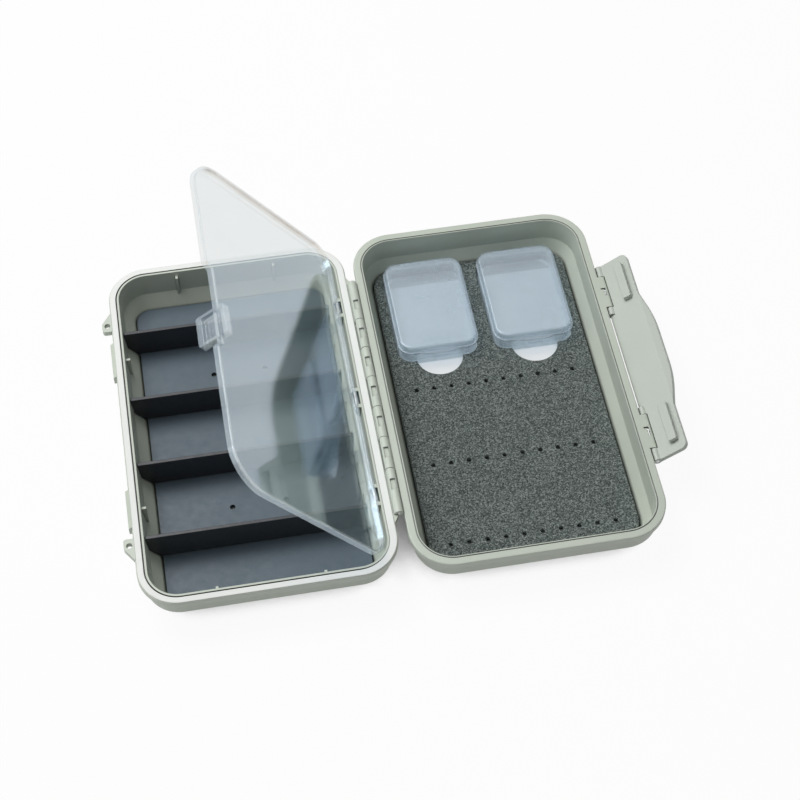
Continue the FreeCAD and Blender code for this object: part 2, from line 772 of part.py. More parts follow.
def build_inner_cover():
    """Clear cover, drawn closed about its hinge axis and then tipped open."""
    body = new_body("inner_cover")
    near = -size.cover_edge_gap
    far = base_free_edge + size.cover_free_gap - cover_axis_x
    half = size.base_length / 2 - size.cover_end_gap
    bottom = -size.cover_underside_drop
    top = bottom + size.cover_thickness
    front = size.cover_recess_front
    back = size.cover_recess_back
    slant = size.cover_recess_slant
    recess_x = far + size.cover_recess_depth

    def outline(inset):
        """Edge of the plate, drawn in all round, with the recess in its free side."""
        corners = rounded(far + inset, near - inset, inset - half, half - inset,
                          size.cover_free_corner - inset, size.cover_hinge_corner - inset)
        shift = inset / 2
        return corners + [(far + inset, back + slant + shift), (recess_x + inset, back + shift),
                          (recess_x + inset, front - shift), (far + inset, front - slant - shift)]

    plate = outline(zero)
    prism(body, "plate", "z", bottom, top, plate)
    lip = size.cover_lip_width
    prism(body, "raised_lip", "z", bottom, top + size.cover_lip_height, plate, outline(lip))
    clip_half = size.cover_clip_length / 2
    arms = []
    for station in HINGE_STATIONS:
        centre = size.cover_hinge_pitch * station
        arms.append(rectangle(near - lip, zero, centre - clip_half, centre + clip_half))
    prism(body, "clip_arms", "z", bottom, top, *arms)
    first = size.cover_hinge_pitch
    clip = prism(body, "clip", "y", first - clip_half, first + clip_half,
                 (zero, zero, size.cover_knuckle_radius))
    repeated(body, "clips", [clip], size.cover_hinge_pitch, len(HINGE_STATIONS))
    bore_reach = first + clip_half + size.cut_overrun
    prism(body, "clip_bore", "y", -bore_reach, bore_reach,
          (zero, zero, size.cover_pin_radius + size.pin_clearance), cut=True)
    # Snap leg below the plate, carried on above it as a finger tab, hollowed on its outer face
    leg_low = size.snap_leg_centre - size.snap_leg_width / 2
    leg_high = size.snap_leg_centre + size.snap_leg_width / 2
    leg_tip = bottom - size.snap_leg_depth
    leg_top = top + size.snap_leg_rise
    prism(body, "snap_leg", "x", recess_x, recess_x + size.snap_leg_thickness,
          [(leg_low, leg_tip, size.snap_leg_round), (leg_high, leg_tip, size.snap_leg_round),
           (leg_high, leg_top, size.snap_leg_round), (leg_low, leg_top, size.snap_leg_round)])
    prism(body, "snap_leg_hollow", "x", recess_x - size.cut_overrun,
          recess_x + size.snap_leg_hollow,
          rectangle(leg_low + size.snap_leg_border, leg_high - size.snap_leg_border,
                    leg_tip + size.snap_leg_tip_border, bottom), cut=True)
    place(body, cover_axis_x, zero, cover_axis_z, -COVER_OPEN_ANGLE)
    return body


def case_centre_x(sign):
    return size.foam_shift + case_spacing * (sign / 2)


def build_foam_sheet():
    body = new_body("foam_backing_sheet")
    outline = inset_outline(lid_width, lid_length, lid_corner, size.foam_inset)
    prism(body, "sheet", "z", size.floor_thickness, sheet_top, outline)
    place(body, lid_x, zero, zero)
    return body


def build_foam_liner():
    """Foam with a pocket and thumb notch for each case, and rows of small holes."""
    body = new_body("foam_liner")
    outline = inset_outline(lid_width, lid_length, lid_corner, size.foam_inset)
    prism(body, "foam", "z", sheet_top, foam_top, outline)
    half_width = case_width / 2 - size.case_rim_stand + size.foam_pocket_clearance
    half_pocket = size.case_length / 2 - size.case_rim_stand + size.foam_pocket_clearance
    front = case_centre_y - half_pocket
    back = case_centre_y + half_pocket
    cut_top = foam_top + size.cut_overrun
    pockets = []
    notches = []
    for sign in (-1, 1):
        centre = case_centre_x(sign)
        pockets.append(rounded(centre - half_width, centre + half_width, front, back,
                               size.case_corner))
        notches.append((centre, front + size.foam_notch_overlap, size.foam_notch_radius))
    prism(body, "pockets", "z", sheet_top, cut_top, *pockets, cut=True)
    prism(body, "notches", "z", sheet_top, cut_top, *notches, cut=True)
    first_x = size.foam_hole_side_border - foam_half_width
    first_y = size.foam_hole_front_border - foam_half_length
    pitch_x = -(first_x + first_x) / (FOAM_COLUMNS - 1)
    pitch_y = (case_front_y - size.foam_hole_case_gap - first_y) / (FOAM_LINES - 1)
    holes = []
    for column in range(FOAM_COLUMNS):
        for line in range(FOAM_LINES):
            holes.append((size.foam_shift + first_x + pitch_x * column,
                          first_y + pitch_y * line, size.foam_hole_radius))
    prism(body, "fly_holes", "z", sheet_top, cut_top, *holes, cut=True)
    place(body, lid_x, zero, zero)
    return body


def case_hinge_y():
    """Place of a case's hinge pin, just clear of the tray's rear face."""
    rear_face = size.case_length / 2 - size.case_rim_stand
    return rear_face + size.case_hinge_gap + size.case_knuckle_radius


def build_case_tray(label, sign):
    body = new_body(label)
    width = case_width
    length = size.case_length
    corner = size.case_corner
    stand = size.case_rim_stand
    top = size.case_tray_height
    prism(body, "outside", "z", zero, top, inset_outline(width, length, corner, stand))
    prism(body, "inside", "z", size.case_wall, top + size.cut_overrun,
          inset_outline(width, length, corner, stand + size.case_wall), cut=True)
    back = length / 2 - stand
    knuckle_low_z = top - size.case_knuckle_web
    half = size.case_hinge_length / 2
    near = size.case_lid_knuckle_length / 2 + size.knuckle_gap / 2
    for name, side in (("left", -1), ("right", 1)):
        ends = [near * side, half * side]
        low, high = ends if side > 0 else ends[::-1]
        web = rectangle(back - size.case_wall, case_hinge_y(), knuckle_low_z, top)
        prism(body, f"hinge_web_{name}", "x", low, high, web)
        prism(body, f"hinge_barrel_{name}", "x", low, high,
              (case_hinge_y(), top, size.case_knuckle_radius))
    prism(body, "hinge_bore", "x", -half - size.cut_overrun, half + size.cut_overrun,
          (case_hinge_y(), top, size.case_pin_radius + size.pin_clearance), cut=True)
    clasp_half = size.case_clasp_width / 2
    clasp_top = top - size.case_rim_thickness / 2
    prism(body, "clasp", "z", clasp_top - size.case_clasp_height, clasp_top,
          rectangle(-clasp_half, clasp_half, -back - size.case_clasp_stand,
                    -back + size.case_wall / 2))
    place(body, lid_x + case_centre_x(sign), case_centre_y, sheet_top)
    return body


def build_case_lid(label, sign):
    body = new_body(label)
    width = case_width
    length = size.case_length
    corner = size.case_corner
    stand = size.case_rim_stand
    bottom = size.case_tray_height + size.case_lid_gap
    prism(body, "crown", "z", bottom, size.case_height,
          inset_outline(width, length, corner, stand))
    round_edges(body, "crown_round", size.case_lid_round,
                lambda edge: all_at_level(edge, size.case_height))
    rim_top = bottom + size.case_rim_thickness
    prism(body, "rim", "z", bottom, rim_top, inset_outline(width, length, corner, zero))
    prism(body, "hollow", "z", bottom - size.cut_overrun, size.case_height - size.case_wall,
          inset_outline(width, length, corner, stand + size.case_wall), cut=True)
    # Room in the rim for the tray's half of the hinge
    notch_half = size.case_hinge_length / 2 + size.knuckle_gap
    prism(body, "hinge_notch", "z", bottom - size.cut_overrun, rim_top + size.knuckle_gap,
          rectangle(-notch_half, notch_half, length / 2 - stand, length / 2 + stand), cut=True)
    tab_half = size.case_tab_width / 2
    front = -(length / 2)
    prism(body, "thumb_tab", "z", bottom, rim_top,
          [(-tab_half, front + stand), (-tab_half, front - size.case_tab_reach / 2,
                                        size.case_tab_reach / 2),
           (-(tab_half / 2), front - size.case_tab_reach, size.case_tab_round),
           (tab_half / 2, front - size.case_tab_reach, size.case_tab_round),
           (tab_half, front - size.case_tab_reach / 2, size.case_tab_reach / 2),
           (tab_half, front + stand)])
    half = size.case_lid_knuckle_length / 2
    web = rectangle(length / 2 - stand, case_hinge_y(), bottom, rim_top)
    prism(body, "hinge_web", "x", -half, half, web)
    prism(body, "hinge_barrel", "x", -half, half,
          (case_hinge_y(), size.case_tray_height, size.case_knuckle_radius))
    prism(body, "hinge_bore", "x", -half - size.cut_overrun, half + size.cut_overrun,
          (case_hinge_y(), size.case_tray_height,
           size.case_pin_radius + size.pin_clearance), cut=True)
    place(body, lid_x + case_centre_x(sign), case_centre_y, sheet_top)
    return body


def build_case_pin(label, sign):
    half = size.case_hinge_length / 2
    body = build_pin(label, "x", -half, half, case_hinge_y(), size.case_tray_height,
                     size.case_pin_radius)
    place(body, lid_x + case_centre_x(sign), case_centre_y, sheet_top)
    return body


def build_latch():
    """Latch flap, drawn straight out from its pin with its inner face up, then tipped."""
    body = new_body("latch")
    half = size.latch_half_length
    face = size.latch_inner_face
    back_face = face - size.latch_thickness
    root = size.latch_knuckle_radius + size.latch_root_gap
    length = size.latch_length
    grip = length + size.latch_grip_reach
    profile = [(root, back_face), (length, back_face),
               (grip, back_face - size.latch_grip_drop),
               (grip, face - size.latch_grip_drop), (length, face), (root, face)]
    prism(body, "flap", "y", -half, half, profile)
    # Trim to the plan outline, with the grip bowed out between the ends
    corner = size.latch_corner
    grip_half = size.latch_grip_half
    flat = size.latch_grip_flat
    plan = [(zero, -half), (length, -half, corner),
            (length, -grip_half, size.latch_grip_start_round),
            (grip, -flat, size.latch_grip_round), (grip, flat, size.latch_grip_round),
            (length, grip_half, size.latch_grip_start_round),
            (length, half, corner), (zero, half)]
    trim_y = half + size.cut_overrun
    trim_x = grip + size.cut_overrun
    trim = rectangle(-size.cut_overrun, trim_x, -trim_y, trim_y)
    prism(body, "plan_trim", "z", back_face - size.latch_grip_drop - size.cut_overrun,
          face + size.cut_overrun, trim, plan, cut=True)
    # The middle reaches back between the two pins
    middle = size.latch_middle
    prism(body, "middle", "y", -middle, middle,
          rectangle(-size.latch_middle_root, root, back_face, face))
    # Ribs that snap under the catches
    ribs = []
    for sign in (1, -1):
        rib_low = size.catch_spacing * (sign / 2) - size.latch_rib_length / 2
        ribs.append(rounded(size.latch_rib_start,
                            size.latch_rib_start + size.latch_rib_width,
                            rib_low, rib_low + size.latch_rib_length, size.latch_rib_round))
    prism(body, "ribs", "z", face - size.latch_thickness / 2, face + size.latch_rib_height,
          *ribs)
    # Knuckles on both sides of each of the lid's ears
    near_end = size.latch_ear_near - size.latch_ear_gap
    far_start = size.latch_ear_far + size.latch_ear_gap
    webs = []
    for low, high in ((middle, near_end), (far_start, half)):
        webs.append(rectangle(zero, root, low, high))
        webs.append(rectangle(zero, root, -high, -low))
    prism(body, "knuckle_webs", "z", back_face, face, *webs)
    knuckle = (zero, zero, size.latch_knuckle_radius)
    bore = (zero, zero, size.latch_pin_radius + size.pin_clearance)
    knuckles = [prism(body, "knuckle_near", "y", middle, near_end, knuckle),
                prism(body, "knuckle_far", "y", far_start, half, knuckle),
                prism(body, "bore", "y", middle, half, bore, cut=True)]
    mirrored(body, "knuckles_mirror", knuckles)
    place(body, lid_x + latch_x, zero, latch_z, LATCH_OPEN_ANGLE)
    return body


def build_all():
    parts = [build_base_shell(), build_rim_gasket(), build_floor_plate()]
    for number, share in enumerate(DIVIDER_SHARES, start=1):
        parts.append(build_divider(number, plate_half_length * share))
    pin_low = knuckle_low(KNUCKLES - 1) - size.hinge_end_length
    pin_high = knuckle_low(0) + size.knuckle_pitch + size.hinge_end_length
    parts.append(build_pin("main_hinge_pin", "y", pin_low, pin_high, hinge_x, rim_z,
                           size.hinge_pin_radius))
    parts.append(build_inner_cover())
    for number, station in enumerate(HINGE_STATIONS, start=1):
        centre = size.cover_hinge_pitch * station
        reach = size.cover_pin_length / 2
        parts.append(build_pin(f"cover_hinge_pin_{number}", "y", centre - reach,
                               centre + reach, cover_axis_x, cover_axis_z,
                               size.cover_pin_radius))
    parts.extend([build_lid_shell(), build_foam_sheet(), build_foam_liner(), build_latch()])
    for name, sign in (("rear", 1), ("front", -1)):
        ends = [size.latch_middle * sign, size.latch_half_length * sign]
        low, high = ends if sign > 0 else ends[::-1]
        parts.append(build_pin(f"latch_pin_{name}", "y", low, high, lid_x + latch_x,
                               latch_z, size.latch_pin_radius))
    for name, sign in (("left", -1), ("right", 1)):
        parts.append(build_case_tray(f"mini_case_{name}_tray", sign))
        parts.append(build_case_lid(f"mini_case_{name}_lid", sign))
        parts.append(build_case_pin(f"mini_case_{name}_hinge_pin", sign))
    return parts


def check_and_write(parts):
    doc.recompute()
    for obj in doc.Objects:
        if "Invalid" in obj.State or "Error" in obj.State:
            raise RuntimeError(f"{obj.Label} failed: {obj.State}")
    for part in parts:
        shape = part.Shape
        if shape.isNull() or not shape.isValid() or len(shape.Solids) != 1:
            raise RuntimeError(f"{part.Label} has no single valid solid")
    os.makedirs("parts", exist_ok=True)
    for part in parts:
        part.Shape.exportStep(f"parts/{part.Label}.step")
        print(f"{part.Label}: {part.Shape.Volume:.1f} cubic mm")


check_and_write(build_all())
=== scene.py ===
"""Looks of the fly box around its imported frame: camera, studio, materials and the soft foam."""

import math

import bpy
from mathutils import Matrix, Vector


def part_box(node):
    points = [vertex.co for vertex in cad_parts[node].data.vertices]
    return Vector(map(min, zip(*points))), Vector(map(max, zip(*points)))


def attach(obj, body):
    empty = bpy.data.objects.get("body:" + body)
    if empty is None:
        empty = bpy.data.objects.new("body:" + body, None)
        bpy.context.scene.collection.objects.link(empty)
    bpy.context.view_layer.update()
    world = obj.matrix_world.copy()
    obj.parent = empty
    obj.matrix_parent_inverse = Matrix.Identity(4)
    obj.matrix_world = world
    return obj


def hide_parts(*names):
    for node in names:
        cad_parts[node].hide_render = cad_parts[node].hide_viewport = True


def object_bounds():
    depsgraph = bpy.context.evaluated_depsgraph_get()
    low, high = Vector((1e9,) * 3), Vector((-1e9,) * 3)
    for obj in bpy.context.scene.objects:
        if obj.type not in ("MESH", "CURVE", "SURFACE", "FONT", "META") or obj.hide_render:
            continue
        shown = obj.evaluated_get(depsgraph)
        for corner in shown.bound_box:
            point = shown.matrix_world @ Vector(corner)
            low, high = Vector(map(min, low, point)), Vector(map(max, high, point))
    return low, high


MM = 0.001
WHITE = (255, 255, 255)
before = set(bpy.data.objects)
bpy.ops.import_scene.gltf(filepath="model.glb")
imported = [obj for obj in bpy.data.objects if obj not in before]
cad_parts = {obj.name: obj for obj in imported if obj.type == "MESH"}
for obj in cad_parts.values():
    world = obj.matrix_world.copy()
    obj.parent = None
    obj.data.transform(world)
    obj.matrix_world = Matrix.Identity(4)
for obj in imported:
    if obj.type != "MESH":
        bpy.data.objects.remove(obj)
cad_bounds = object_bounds()

# Camera, worked out from the corners of both rims in the photograph
CAMERA_AZIMUTH = math.radians(-10.064)
CAMERA_ELEVATION = math.radians(54.684)
CAMERA_ROLL = math.radians(0.165)
CAMERA_TARGET = Vector((57.856, -4.096, 18.5)) * MM
CAMERA_DISTANCE = 663.88 * MM
CAMERA_LENS = 79.02
CAMERA_SENSOR = 36.0
CAMERA_NEAR = 10 * MM

# Studio. The floor looks white, but keeps a trace of shadow and a darker place in narrow gaps.
FLOOR_HALF = 2.5
FLOOR_DROP = 0.15 * MM
FLOOR_COLOUR = (240, 241, 241)
FLOOR_SHADE = (232, 233, 233)
FLOOR_DRIFT_SCALE = 9
SHADOW_SHARE = 0.06
GAP_REACH = 25 * MM
GAP_RANGE = (0.08, 0.36)
WORLD_LIGHT = 0.22
LAMPS = {
    "top_lamp": {"place": (-0.28, 0.34, 0.9), "size": 0.6, "power": 7.4},
    "side_lamp": {"place": (-0.85, 0.0, 0.5), "size": 0.7, "power": 1.0},
}

# Moulded plastic: noise scales are waves per metre
DRIFT_SCALE = 26
DRIFT_RANGE = (0.32, 0.68)
GRAIN_SCALE = 2400
GRAIN_DEPTH = 0.035 * MM
GRAIN_SHARE = 0.16
SHEEN_SCALE = 320
SHEEN_SPREAD = 0.06
# Rounding of edges, and the highlight painted along them
ROUNDED_EDGE_RADIUS = 0.35 * MM
EDGE_HIGHLIGHT_REACH = 0.35
EDGE_HIGHLIGHT_SHARE = 0.3
# Painted shade: how far into slots and corners, and how strongly, the tone is darkened
CREVICE_SHADE_REACH = 2.0 * MM
CREVICE_SHADE_RANGE = (0.15, 0.75)
MIDDLE_RANGE = (0.3, 0.7)

# See-through plastic
CLOUD_SCALE = 60
CLOUD_RANGE = (0.2, 0.8)
CLOUD_SHARE = 0.15
CLOUD_SHEEN = (0.8, 1.2)
CLEAR_EDGE_RADIUS = 0.25 * MM

# Foam's speckle, from dark to pale
FOAM_CELL_SCALE = 2300.0
FOAM_GRAIN_SCALE = 2000
FOAM_DIMPLE_SCALE = 700
FOAM_DIMPLE_DEPTH = 0.1 * MM
FOAM_CELL_SHARE = 0.6
FOAM_TONES = ((0.15, (50, 55, 54)), (0.4, (84, 92, 90)), (0.6, (106, 115, 112)),
              (0.85, (150, 158, 155)))
FOAM_ROUGHNESS = 0.94
FOAM_SHINE = 0.25

# Pins
STEEL_DARK = (168, 170, 172)
STEEL_PALE = (205, 207, 208)
STEEL_STREAK_SCALE = 1400
STEEL_STREAK_DEPTH = 0.01 * MM
STEEL_SHEEN = (0.22, 0.36)


def linear(colour):
    """Shader colour from 0-255 screen values."""
    def channel(value):
        share = value / 255
        return share / 12.92 if share <= 0.04045 else ((share + 0.055) / 1.055) ** 2.4
    return tuple(channel(value) for value in colour) + (1.0,)


class Shader:
    """One material: nodes are added with their inputs already set or linked."""

    def __init__(self, name):
        self.material = bpy.data.materials.new(name)
        self.material.use_nodes = True
        self.tree = self.material.node_tree
        self.tree.nodes.clear()

    def add(self, kind, inputs, **settings):
        node = self.tree.nodes.new("ShaderNode" + kind)
        for name, value in settings.items():
            setattr(node, name, value)
        for socket, value in inputs.items():
            if isinstance(value, bpy.types.NodeSocket):
                self.tree.links.new(value, node.inputs[socket])
            else:
                node.inputs[socket].default_value = value
        return node

    def place(self):
        return self.add("TexCoord", {}).outputs["Object"]

    def noise(self, scale, detail, roughness=0.5):
        inputs = {"Vector": self.place(), "Scale": scale, "Detail": detail, "Roughness": roughness}
        return self.add("TexNoise", inputs).outputs["Fac"]

    def spread(self, value, span, to_low=0.0, to_high=1.0):
        """The value's span, cut off at both ends, stretched to other limits."""
        inputs = {"Value": value, "From Min": span[0], "From Max": span[1],
                  "To Min": to_low, "To Max": to_high}
        return self.add("MapRange", inputs).outputs["Result"]

    def mix(self, share, first, second):
        return self.add("Mix", {0: share, 6: first, 7: second}, data_type="RGBA").outputs[2]

    def mix_shaders(self, share, first, second):
        return self.add("MixShader", {0: share, 1: first, 2: second}).outputs[0]

    def math(self, operation, first, second):
        return self.add("Math", {0: first, 1: second}, operation=operation).outputs[0]

    def rounded(self, radius, normal=None):
        """Normal that turns softly round an edge."""
        inputs = {"Radius": radius}
        if normal is not None:
            inputs["Normal"] = normal
        return self.add("Bevel", inputs, samples=6).outputs["Normal"]

    def edges(self, radius, reach):
        """1 on an edge, 0 away from it."""
        sides = {0: self.rounded(radius), 1: self.add("NewGeometry", {}).outputs["Normal"]}
        along = self.add("VectorMath", sides, operation="DOT_PRODUCT").outputs["Value"]
        return self.spread(along, (1.0, 1.0 - reach))

    def open_share(self, reach, span):
        """1 where the surface lies open, 0 in slots and corners narrower than the reach."""
        occlusion = self.add("AmbientOcclusion", {"Distance": reach}, samples=8)
        return self.spread(occlusion.outputs["AO"], span)

    def bump(self, height, depth):
        inputs = {"Height": height, "Distance": depth, "Strength": 1.0}
        return self.add("Bump", inputs).outputs["Normal"]

    def principled(self, colour, roughness, normal, metal=0.0, shine=0.5):
        inputs = {"Base Color": colour, "Roughness": roughness, "Normal": normal,
                  "Metallic": metal, "Specular IOR Level": shine}
        return self.add("BsdfPrincipled", inputs).outputs[0]

    def finish(self, surface):
        self.add("OutputMaterial", {"Surface": surface})
        return self.material


def moulded(name, colour, shade, pale_fleck_and_highlight, crevice_shade, roughness):
    """Moulded plastic: broad tone drift, fine grain, a highlight painted on edges, shade painted in
    slots.
    """
    shader = Shader(name)
    drift = shader.spread(shader.noise(DRIFT_SCALE, 4.0), DRIFT_RANGE)
    grain = shader.noise(GRAIN_SCALE, 3.0, 0.6)
    # Painted highlight: edges are mixed towards the palest colour, as where light catches them
    painted_edge_highlight = shader.spread(shader.edges(ROUNDED_EDGE_RADIUS, EDGE_HIGHLIGHT_REACH), (0.0, 1.0), 0.0, EDGE_HIGHLIGHT_SHARE)
    tone = shader.mix(drift, linear(shade), linear(colour))
    tone = shader.mix(shader.spread(grain, MIDDLE_RANGE, 0.0, GRAIN_SHARE), tone, linear(pale_fleck_and_highlight))
    tone = shader.mix(painted_edge_highlight, tone, linear(pale_fleck_and_highlight))
    # Painted shade: the tone is darkened towards the darkest colour in slots and corners, where
    # shade falls
    tone = shader.mix(shader.open_share(CREVICE_SHADE_REACH, CREVICE_SHADE_RANGE), linear(crevice_shade), tone)
    rough = shader.spread(shader.noise(SHEEN_SCALE, 3.0), MIDDLE_RANGE,
                          roughness - SHEEN_SPREAD, roughness + SHEEN_SPREAD)
    normal = shader.rounded(ROUNDED_EDGE_RADIUS, shader.bump(grain, GRAIN_DEPTH))
    return shader.finish(shader.principled(tone, rough, normal))


def see_through(name, tint, gloss_tint, gloss_range, roughness, milk_tint, milk_share, lamp_tint):
    """Thin clear or frosted plastic.

    Light goes straight through, tinted, past some milky haze and under a bright bluish gloss
    that grows as the surface slants away. Lamps shine through with a tint of their own.
    """
    shader = Shader(name)
    cloud = shader.noise(CLOUD_SCALE, 3.0)
    normal = shader.rounded(CLEAR_EDGE_RADIUS)
    rough = shader.spread(cloud, CLOUD_RANGE, *(roughness * share for share in CLOUD_SHEEN))
    paler = shader.spread(cloud, CLOUD_RANGE, 0.0, CLOUD_SHARE)

    def clouded(colour):
        return shader.mix(paler, linear(colour), linear(WHITE))

    through = shader.add("BsdfTransparent", {"Color": clouded(tint)}).outputs[0]
    milky = shader.principled(clouded(milk_tint), rough, normal)
    gloss_inputs = {"Color": clouded(gloss_tint), "Roughness": rough, "Normal": normal}
    gloss = shader.add("BsdfAnisotropic", gloss_inputs).outputs[0]
    slant = shader.add("LayerWeight", {"Blend": 0.5}).outputs["Facing"]
    hazy = shader.mix_shaders(milk_share, through, milky)
    seen = shader.mix_shaders(shader.spread(slant, (0.0, 1.0), *gloss_range), hazy, gloss)
    lit = shader.add("BsdfTransparent", {"Color": linear(lamp_tint)}).outputs[0]
    from_lamp = shader.add("LightPath", {}).outputs["Is Shadow Ray"]
    return shader.finish(shader.mix_shaders(from_lamp, seen, lit))


def speckled_foam(name):
    """Closed-cell foam: fine grey-green salt and pepper with soft dimples."""
    shader = Shader(name)
    cell_inputs = {"Vector": shader.place(), "Scale": FOAM_CELL_SCALE}
    cells = shader.add("TexVoronoi", cell_inputs, feature="F1")
    grain = shader.noise(FOAM_GRAIN_SCALE, 2.0, 0.7)
    cell_tones = shader.add("SeparateColor", {0: cells.outputs["Color"]}).outputs[0]
    speckle = shader.math("ADD", shader.spread(cell_tones, (0.0, 1.0), 0.0, FOAM_CELL_SHARE),
                          shader.spread(grain, (0.25, 0.75), 0.0, 1.0 - FOAM_CELL_SHARE))
    ramp = shader.add("ValToRGB", {"Fac": speckle})
    elements = ramp.color_ramp.elements
    while len(elements) < len(FOAM_TONES):
        elements.new(0.5)
    for element, (position, colour) in zip(elements, FOAM_TONES):
        element.position = position
        element.color = linear(colour)
    dimples = shader.math("ADD", speckle, shader.noise(FOAM_DIMPLE_SCALE, 2.0))
    surface = shader.principled(ramp.outputs["Color"], FOAM_ROUGHNESS,
                                shader.bump(dimples, FOAM_DIMPLE_DEPTH), shine=FOAM_SHINE)
    return shader.finish(surface)


def steel(name):
    """Drawn steel wire with faint streaks."""
    shader = Shader(name)
    streak = shader.noise(STEEL_STREAK_SCALE, 3.0)
    tone = shader.mix(shader.spread(streak, MIDDLE_RANGE), linear(STEEL_DARK), linear(STEEL_PALE))
    rough = shader.spread(streak, MIDDLE_RANGE, *STEEL_SHEEN)
    normal = shader.bump(streak, STEEL_STREAK_DEPTH)
    return shader.finish(shader.principled(tone, rough, normal, metal=1.0))


# In each moulded finish the darkest colour is painted shade for slots and corners. The palest is
# both a fleck in the grain and a painted highlight on edges.
MATERIALS = {
    "shell": moulded("sage_shell", colour=(200, 207, 194), shade=(192, 200, 187),
                     pale_fleck_and_highlight=(222, 227, 219), crevice_shade=(30, 38, 32), roughness=0.42),
    "latch": moulded("sage_latch", colour=(196, 203, 193), shade=(189, 197, 187),
                     pale_fleck_and_highlight=(218, 223, 216), crevice_shade=(58, 66, 60), roughness=0.42),
    "gasket": moulded("pale_gasket", colour=(240, 242, 238), shade=(232, 235, 231),
                      pale_fleck_and_highlight=(250, 250, 248), crevice_shade=(150, 158, 150), roughness=0.5),
    "plate": moulded("slate_plate", colour=(76, 91, 102), shade=(68, 83, 94),
                     pale_fleck_and_highlight=(108, 122, 132), crevice_shade=(22, 26, 30), roughness=0.5),
    "divider": moulded("black_divider", colour=(27, 30, 36), shade=(21, 23, 29),
                       pale_fleck_and_highlight=(96, 102, 110), crevice_shade=(12, 13, 16), roughness=0.4),
    "sheet": moulded("white_sheet", colour=(250, 251, 251), shade=(246, 247, 247),
                     pale_fleck_and_highlight=(254, 254, 254), crevice_shade=(200, 206, 208), roughness=0.55),
    "steel": steel("pin_steel"),
    "clear": see_through("clear_cover", tint=(255, 250, 244), gloss_tint=(222, 240, 253),
                         gloss_range=(0.1, 0.45), roughness=0.05, milk_tint=(150, 185, 225),
                         milk_share=0.04, lamp_tint=(244, 247, 250)),
    "frosted": see_through("frosted_case", tint=(245, 248, 249), gloss_tint=(222, 238, 252),
                           gloss_range=(0.04, 0.3), roughness=0.3, milk_tint=(214, 223, 229),
                           milk_share=0.14, lamp_tint=(246, 248, 250)),
    "foam": speckled_foam("speckled_foam"),
}

NODES_IN = {
    "shell": ["base_shell", "lid_shell"],
    "latch": ["latch"],
    "gasket": ["rim_gasket"],
    "plate": ["base_floor_plate"],
    "divider": ["divider_1", "divider_2", "divider_3", "divider_4"],
    "sheet": ["foam_backing_sheet"],
    "steel": ["main_hinge_pin", "cover_hinge_pin_1", "cover_hinge_pin_2", "cover_hinge_pin_3",
              "latch_pin_rear", "latch_pin_front", "mini_case_left_hinge_pin",
              "mini_case_right_hinge_pin"],
    "clear": ["inner_cover"],
    "frosted": ["mini_case_left_tray", "mini_case_left_lid", "mini_case_right_tray",
                "mini_case_right_lid"],
    "foam": ["foam_liner"],
}


def dress(piece, material):
    piece.data.materials.clear()
    piece.data.materials.append(MATERIALS[material])


for material_name, node_names in NODES_IN.items():
    for node_name in node_names:
        dress(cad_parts[node_name], material_name)


# Foam in the lid, in millimetres. The centre of the holes is measured from the foam's centre.
FOAM_CORNER = 7.9
FOAM_EDGE = 0.25
FOAM_EDGE_STEPS = 2
POCKET_GAP = 0.4
POCKET_LENGTH = 44.8
POCKET_CORNER = 5.5
NOTCH_RADIUS = 9.3
NOTCH_OVERLAP = 1.3
NOTCH_STEPS = 40
HOLE_RADIUS = 0.85
HOLE_STEPS = 24
HOLE_COLUMNS = 10
HOLE_LINES = 3
HOLE_PITCH_X = 6.9
HOLE_PITCH_Y = 35.3
HOLE_CENTRE_X = -0.3
HOLE_CENTRE_Y = -26.2


def millimetres(node):
    """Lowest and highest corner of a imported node."""
    low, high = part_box(node)
    return low / MM, high / MM


def arc(x, y, radius, start, end, steps=12):
    """Points along an arc, its angles in degrees."""
    turns = [math.radians(start + (end - start) * i / steps) for i in range(steps + 1)]
    return [(x + radius * math.cos(turn), y + radius * math.sin(turn)) for turn in turns]


def circle(x, y, radius, steps):
    return arc(x, y, radius, 0, 360, steps)[:-1]


def rounded_box(low, high, radius, notch=()):
    """Rounded rectangle, anticlockwise, with other points let into its front side."""
    left, right = low.x + radius, high.x - radius
    front, back = low.y + radius, high.y - radius
    return (arc(right, back, radius, 0, 90) + arc(left, back, radius, 90, 180)
            + arc(left, front, radius, 180, 270) + list(notch)
            + arc(right, front, radius, 270, 360))


def pocket_outline(side):
    """Pocket round one of the lift-out cases, with its thumb notch."""
    tray_low, tray_high = millimetres(f"mini_case_{side}_tray")
    low = Vector((tray_low.x - POCKET_GAP, tray_low.y, 0))
    high = Vector((tray_high.x + POCKET_GAP, tray_low.y + POCKET_LENGTH, 0))
    lean = math.degrees(math.asin(NOTCH_OVERLAP / NOTCH_RADIUS))
    notch = arc((low.x + high.x) / 2, low.y + NOTCH_OVERLAP, NOTCH_RADIUS, 180 + lean, 360 - lean,
                NOTCH_STEPS)
    return rounded_box(low, high, POCKET_CORNER, notch)


def foam_outlines():
    """The foam's outer outline, its two pockets and its holes."""
    low, high = millimetres("foam_liner")
    centre = (low + high) / 2
    outlines = [rounded_box(low, high, FOAM_CORNER), pocket_outline("left"), pocket_outline("right")]
    for column in range(HOLE_COLUMNS):
        for line in range(HOLE_LINES):
            x = centre.x + HOLE_CENTRE_X + HOLE_PITCH_X * (column - (HOLE_COLUMNS - 1) / 2)
            y = centre.y + HOLE_CENTRE_Y + HOLE_PITCH_Y * (line - (HOLE_LINES - 1) / 2)
            outlines.append(circle(x, y, HOLE_RADIUS, HOLE_STEPS))
    return outlines


def new_object(name, data):
    """A new object in the scene."""
    thing = bpy.data.objects.new(name, data)
    bpy.context.scene.collection.objects.link(thing)
    return thing


